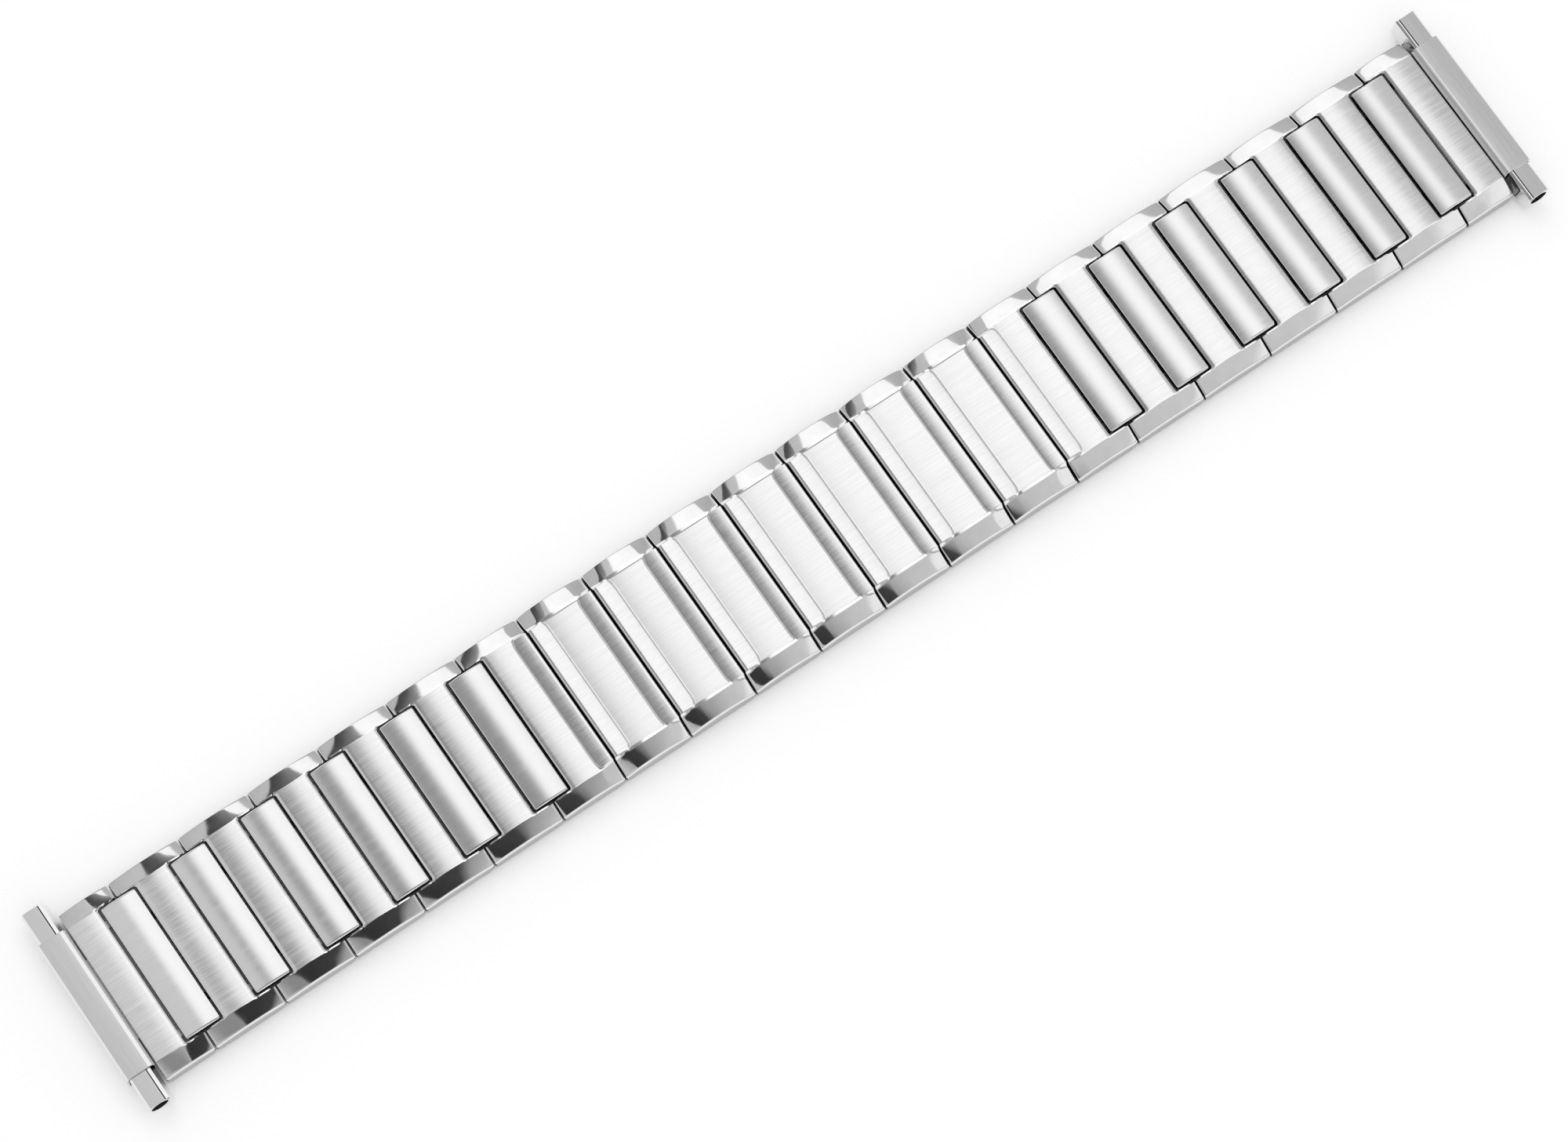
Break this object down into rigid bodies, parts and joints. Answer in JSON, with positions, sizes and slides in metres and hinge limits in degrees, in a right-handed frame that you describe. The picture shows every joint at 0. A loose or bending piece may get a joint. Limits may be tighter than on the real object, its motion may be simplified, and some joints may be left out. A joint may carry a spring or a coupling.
{
  "type": "expansion watch band",
  "caption": "Straight steel expansion watch band with hinged middle links, sprung outer links and telescoping lug ends.",
  "frame": {"origin": "middle of the band on the surface that its wrist side lies on", "axes": "+X along the band toward the right end, +Y across it toward the rear tubes, +Z away from the wrist"},
  "size_m": [0.1594, 0.022, 0.0032],
  "materials": {
    "link_steel": "brushed panels, polished bevels",
    "bar_steel": "brushed",
    "bow_steel": "bright drawn wire",
    "pin_steel": "bright drawn wire",
    "sleeve_steel": "fine brushed",
    "tube_steel": "fine brushed"
  },
  "bodies": {
    "link_10": {"link_10": "link_steel"},
    "link_11": {"link_11": "link_steel", "hinge_pin_05": "pin_steel"},
    "link_12": {"link_12": "link_steel", "hinge_pin_06": "pin_steel"},
    "link_13": {"link_13": "link_steel", "hinge_pin_07": "pin_steel"},
    "link_14": {"link_14": "link_steel", "hinge_pin_08": "pin_steel"},
    "bar_07": {"bar_07": "bar_steel"},
    "bow_07": {"bow_07": "bow_steel"},
    "link_15": {"link_15": "link_steel"},
    "bar_08": {"bar_08": "bar_steel"},
    "bow_08": {"bow_08": "bow_steel"},
    "link_16": {"link_16": "link_steel"},
    "bar_09": {"bar_09": "bar_steel"},
    "bow_09": {"bow_09": "bow_steel"},
    "link_17": {"link_17": "link_steel"},
    "bar_10": {"bar_10": "bar_steel"},
    "bow_10": {"bow_10": "bow_steel"},
    "link_18": {"link_18": "link_steel"},
    "bar_11": {"bar_11": "bar_steel"},
    "bow_11": {"bow_11": "bow_steel"},
    "link_19": {"link_19": "link_steel"},
    "bar_12": {"bar_12": "bar_steel"},
    "bow_12": {"bow_12": "bow_steel"},
    "right_end_link": {"right_end_link": "link_steel", "right_end_sleeve": "sleeve_steel"},
    "right_front_tube": {"right_front_tube": "tube_steel"},
    "right_rear_tube": {"right_rear_tube": "tube_steel"},
    "link_09": {"link_09": "link_steel", "hinge_pin_04": "pin_steel"},
    "link_08": {"link_08": "link_steel", "hinge_pin_03": "pin_steel"},
    "link_07": {"link_07": "link_steel", "hinge_pin_02": "pin_steel"},
    "link_06": {"link_06": "link_steel", "hinge_pin_01": "pin_steel"},
    "bar_06": {"bar_06": "bar_steel"},
    "bow_06": {"bow_06": "bow_steel"},
    "link_05": {"link_05": "link_steel"},
    "bar_05": {"bar_05": "bar_steel"},
    "bow_05": {"bow_05": "bow_steel"},
    "link_04": {"link_04": "link_steel"},
    "bar_04": {"bar_04": "bar_steel"},
    "bow_04": {"bow_04": "bow_steel"},
    "link_03": {"link_03": "link_steel"},
    "bar_03": {"bar_03": "bar_steel"},
    "bow_03": {"bow_03": "bow_steel"},
    "link_02": {"link_02": "link_steel"},
    "bar_02": {"bar_02": "bar_steel"},
    "bow_02": {"bow_02": "bow_steel"},
    "link_01": {"link_01": "link_steel"},
    "bar_01": {"bar_01": "bar_steel"},
    "bow_01": {"bow_01": "bow_steel"},
    "left_end_link": {"left_end_link": "link_steel", "left_end_sleeve": "sleeve_steel"},
    "left_front_tube": {"left_front_tube": "tube_steel"},
    "left_rear_tube": {"left_rear_tube": "tube_steel"}
  },
  "joints": [
    {"name": "link_11_curl", "type": "hinge", "parent": "link_10", "child": "link_11", "pos_m": [0.00367, 0, 0.0012], "axis": [0, 1, 0], "range_deg": [-2, 15]},
    {"name": "link_12_curl", "type": "hinge", "parent": "link_11", "child": "link_12", "pos_m": [0.01103, 0, 0.0012], "axis": [0, 1, 0], "range_deg": [-2, 15]},
    {"name": "link_13_curl", "type": "hinge", "parent": "link_12", "child": "link_13", "pos_m": [0.01837, 0, 0.0012], "axis": [0, 1, 0], "range_deg": [-2, 15]},
    {"name": "link_14_curl", "type": "hinge", "parent": "link_13", "child": "link_14", "pos_m": [0.02573, 0, 0.0012], "axis": [0, 1, 0], "range_deg": [-2, 15]},
    {"name": "bar_07_slide", "type": "slide", "parent": "link_14", "child": "bar_07", "axis": [1, 0, 0], "range_m": [0, 0.0021], "stiffness_N_per_m": 1000},
    {"name": "bow_07_curl", "type": "hinge", "parent": "bar_07", "child": "bow_07", "pos_m": [0.03343, 0, 0.0012], "axis": [0, 1, 0], "range_deg": [-2, 15]},
    {"name": "link_15_slide", "type": "slide", "parent": "bow_07", "child": "link_15", "axis": [1, 0, 0], "range_m": [0, 0.0021], "stiffness_N_per_m": 1000},
    {"name": "bar_08_slide", "type": "slide", "parent": "link_15", "child": "bar_08", "axis": [1, 0, 0], "range_m": [0, 0.0021], "stiffness_N_per_m": 1000},
    {"name": "bow_08_curl", "type": "hinge", "parent": "bar_08", "child": "bow_08", "pos_m": [0.04113, 0, 0.0012], "axis": [0, 1, 0], "range_deg": [-2, 15]},
    {"name": "link_16_slide", "type": "slide", "parent": "bow_08", "child": "link_16", "axis": [1, 0, 0], "range_m": [0, 0.0021], "stiffness_N_per_m": 1000},
    {"name": "bar_09_slide", "type": "slide", "parent": "link_16", "child": "bar_09", "axis": [1, 0, 0], "range_m": [0, 0.0021], "stiffness_N_per_m": 1000},
    {"name": "bow_09_curl", "type": "hinge", "parent": "bar_09", "child": "bow_09", "pos_m": [0.04883, 0, 0.0012], "axis": [0, 1, 0], "range_deg": [-2, 15]},
    {"name": "link_17_slide", "type": "slide", "parent": "bow_09", "child": "link_17", "axis": [1, 0, 0], "range_m": [0, 0.0021], "stiffness_N_per_m": 1000},
    {"name": "bar_10_slide", "type": "slide", "parent": "link_17", "child": "bar_10", "axis": [1, 0, 0], "range_m": [0, 0.0021], "stiffness_N_per_m": 1000},
    {"name": "bow_10_curl", "type": "hinge", "parent": "bar_10", "child": "bow_10", "pos_m": [0.05652, 0, 0.0012], "axis": [0, 1, 0], "range_deg": [-2, 15]},
    {"name": "link_18_slide", "type": "slide", "parent": "bow_10", "child": "link_18", "axis": [1, 0, 0], "range_m": [0, 0.0021], "stiffness_N_per_m": 1000},
    {"name": "bar_11_slide", "type": "slide", "parent": "link_18", "child": "bar_11", "axis": [1, 0, 0], "range_m": [0, 0.0021], "stiffness_N_per_m": 1000},
    {"name": "bow_11_curl", "type": "hinge", "parent": "bar_11", "child": "bow_11", "pos_m": [0.06423, 0, 0.0012], "axis": [0, 1, 0], "range_deg": [-2, 15]},
    {"name": "link_19_slide", "type": "slide", "parent": "bow_11", "child": "link_19", "axis": [1, 0, 0], "range_m": [0, 0.0021], "stiffness_N_per_m": 1000},
    {"name": "bar_12_slide", "type": "slide", "parent": "link_19", "child": "bar_12", "axis": [1, 0, 0], "range_m": [0, 0.0021], "stiffness_N_per_m": 1000},
    {"name": "bow_12_curl", "type": "hinge", "parent": "bar_12", "child": "bow_12", "pos_m": [0.07193, 0, 0.0012], "axis": [0, 1, 0], "range_deg": [-2, 15]},
    {"name": "right_end_link_slide", "type": "slide", "parent": "bow_12", "child": "right_end_link", "axis": [1, 0, 0], "range_m": [0, 0.0021], "stiffness_N_per_m": 1000},
    {"name": "right_front_tube_slide", "type": "slide", "parent": "right_end_link", "child": "right_front_tube", "axis": [0, 1, 0], "range_m": [0, 0.003]},
    {"name": "right_rear_tube_slide", "type": "slide", "parent": "right_end_link", "child": "right_rear_tube", "axis": [0, -1, 0], "range_m": [0, 0.003]},
    {"name": "link_09_curl", "type": "hinge", "parent": "link_10", "child": "link_09", "pos_m": [-0.00367, 0, 0.0012], "axis": [0, -1, 0], "range_deg": [-2, 15]},
    {"name": "link_08_curl", "type": "hinge", "parent": "link_09", "child": "link_08", "pos_m": [-0.01103, 0, 0.0012], "axis": [0, -1, 0], "range_deg": [-2, 15]},
    {"name": "link_07_curl", "type": "hinge", "parent": "link_08", "child": "link_07", "pos_m": [-0.01837, 0, 0.0012], "axis": [0, -1, 0], "range_deg": [-2, 15]},
    {"name": "link_06_curl", "type": "hinge", "parent": "link_07", "child": "link_06", "pos_m": [-0.02573, 0, 0.0012], "axis": [0, -1, 0], "range_deg": [-2, 15]},
    {"name": "bar_06_slide", "type": "slide", "parent": "link_06", "child": "bar_06", "axis": [-1, 0, 0], "range_m": [0, 0.0021], "stiffness_N_per_m": 1000},
    {"name": "bow_06_curl", "type": "hinge", "parent": "bar_06", "child": "bow_06", "pos_m": [-0.03343, 0, 0.0012], "axis": [0, -1, 0], "range_deg": [-2, 15]},
    {"name": "link_05_slide", "type": "slide", "parent": "bow_06", "child": "link_05", "axis": [-1, 0, 0], "range_m": [0, 0.0021], "stiffness_N_per_m": 1000},
    {"name": "bar_05_slide", "type": "slide", "parent": "link_05", "child": "bar_05", "axis": [-1, 0, 0], "range_m": [0, 0.0021], "stiffness_N_per_m": 1000},
    {"name": "bow_05_curl", "type": "hinge", "parent": "bar_05", "child": "bow_05", "pos_m": [-0.04113, 0, 0.0012], "axis": [0, -1, 0], "range_deg": [-2, 15]},
    {"name": "link_04_slide", "type": "slide", "parent": "bow_05", "child": "link_04", "axis": [-1, 0, 0], "range_m": [0, 0.0021], "stiffness_N_per_m": 1000},
    {"name": "bar_04_slide", "type": "slide", "parent": "link_04", "child": "bar_04", "axis": [-1, 0, 0], "range_m": [0, 0.0021], "stiffness_N_per_m": 1000},
    {"name": "bow_04_curl", "type": "hinge", "parent": "bar_04", "child": "bow_04", "pos_m": [-0.04883, 0, 0.0012], "axis": [0, -1, 0], "range_deg": [-2, 15]},
    {"name": "link_03_slide", "type": "slide", "parent": "bow_04", "child": "link_03", "axis": [-1, 0, 0], "range_m": [0, 0.0021], "stiffness_N_per_m": 1000},
    {"name": "bar_03_slide", "type": "slide", "parent": "link_03", "child": "bar_03", "axis": [-1, 0, 0], "range_m": [0, 0.0021], "stiffness_N_per_m": 1000},
    {"name": "bow_03_curl", "type": "hinge", "parent": "bar_03", "child": "bow_03", "pos_m": [-0.05652, 0, 0.0012], "axis": [0, -1, 0], "range_deg": [-2, 15]},
    {"name": "link_02_slide", "type": "slide", "parent": "bow_03", "child": "link_02", "axis": [-1, 0, 0], "range_m": [0, 0.0021], "stiffness_N_per_m": 1000},
    {"name": "bar_02_slide", "type": "slide", "parent": "link_02", "child": "bar_02", "axis": [-1, 0, 0], "range_m": [0, 0.0021], "stiffness_N_per_m": 1000},
    {"name": "bow_02_curl", "type": "hinge", "parent": "bar_02", "child": "bow_02", "pos_m": [-0.06423, 0, 0.0012], "axis": [0, -1, 0], "range_deg": [-2, 15]},
    {"name": "link_01_slide", "type": "slide", "parent": "bow_02", "child": "link_01", "axis": [-1, 0, 0], "range_m": [0, 0.0021], "stiffness_N_per_m": 1000},
    {"name": "bar_01_slide", "type": "slide", "parent": "link_01", "child": "bar_01", "axis": [-1, 0, 0], "range_m": [0, 0.0021], "stiffness_N_per_m": 1000},
    {"name": "bow_01_curl", "type": "hinge", "parent": "bar_01", "child": "bow_01", "pos_m": [-0.07193, 0, 0.0012], "axis": [0, -1, 0], "range_deg": [-2, 15]},
    {"name": "left_end_link_slide", "type": "slide", "parent": "bow_01", "child": "left_end_link", "axis": [-1, 0, 0], "range_m": [0, 0.0021], "stiffness_N_per_m": 1000},
    {"name": "left_front_tube_slide", "type": "slide", "parent": "left_end_link", "child": "left_front_tube", "axis": [0, 1, 0], "range_m": [0, 0.003]},
    {"name": "left_rear_tube_slide", "type": "slide", "parent": "left_end_link", "child": "left_rear_tube", "axis": [0, -1, 0], "range_m": [0, 0.003]}
  ],
  "couplings": [
    {"joint": "link_15_slide", "follows": "bar_07_slide", "ratio": 1},
    {"joint": "bar_08_slide", "follows": "bar_07_slide", "ratio": 1},
    {"joint": "link_16_slide", "follows": "bar_07_slide", "ratio": 1},
    {"joint": "bar_09_slide", "follows": "bar_07_slide", "ratio": 1},
    {"joint": "link_17_slide", "follows": "bar_07_slide", "ratio": 1},
    {"joint": "bar_10_slide", "follows": "bar_07_slide", "ratio": 1},
    {"joint": "link_18_slide", "follows": "bar_07_slide", "ratio": 1},
    {"joint": "bar_11_slide", "follows": "bar_07_slide", "ratio": 1},
    {"joint": "link_19_slide", "follows": "bar_07_slide", "ratio": 1},
    {"joint": "bar_12_slide", "follows": "bar_07_slide", "ratio": 1},
    {"joint": "right_end_link_slide", "follows": "bar_07_slide", "ratio": 1},
    {"joint": "bar_06_slide", "follows": "bar_07_slide", "ratio": 1},
    {"joint": "link_05_slide", "follows": "bar_07_slide", "ratio": 1},
    {"joint": "bar_05_slide", "follows": "bar_07_slide", "ratio": 1},
    {"joint": "link_04_slide", "follows": "bar_07_slide", "ratio": 1},
    {"joint": "bar_04_slide", "follows": "bar_07_slide", "ratio": 1},
    {"joint": "link_03_slide", "follows": "bar_07_slide", "ratio": 1},
    {"joint": "bar_03_slide", "follows": "bar_07_slide", "ratio": 1},
    {"joint": "link_02_slide", "follows": "bar_07_slide", "ratio": 1},
    {"joint": "bar_02_slide", "follows": "bar_07_slide", "ratio": 1},
    {"joint": "link_01_slide", "follows": "bar_07_slide", "ratio": 1},
    {"joint": "bar_01_slide", "follows": "bar_07_slide", "ratio": 1},
    {"joint": "left_end_link_slide", "follows": "bar_07_slide", "ratio": 1}
  ]
}
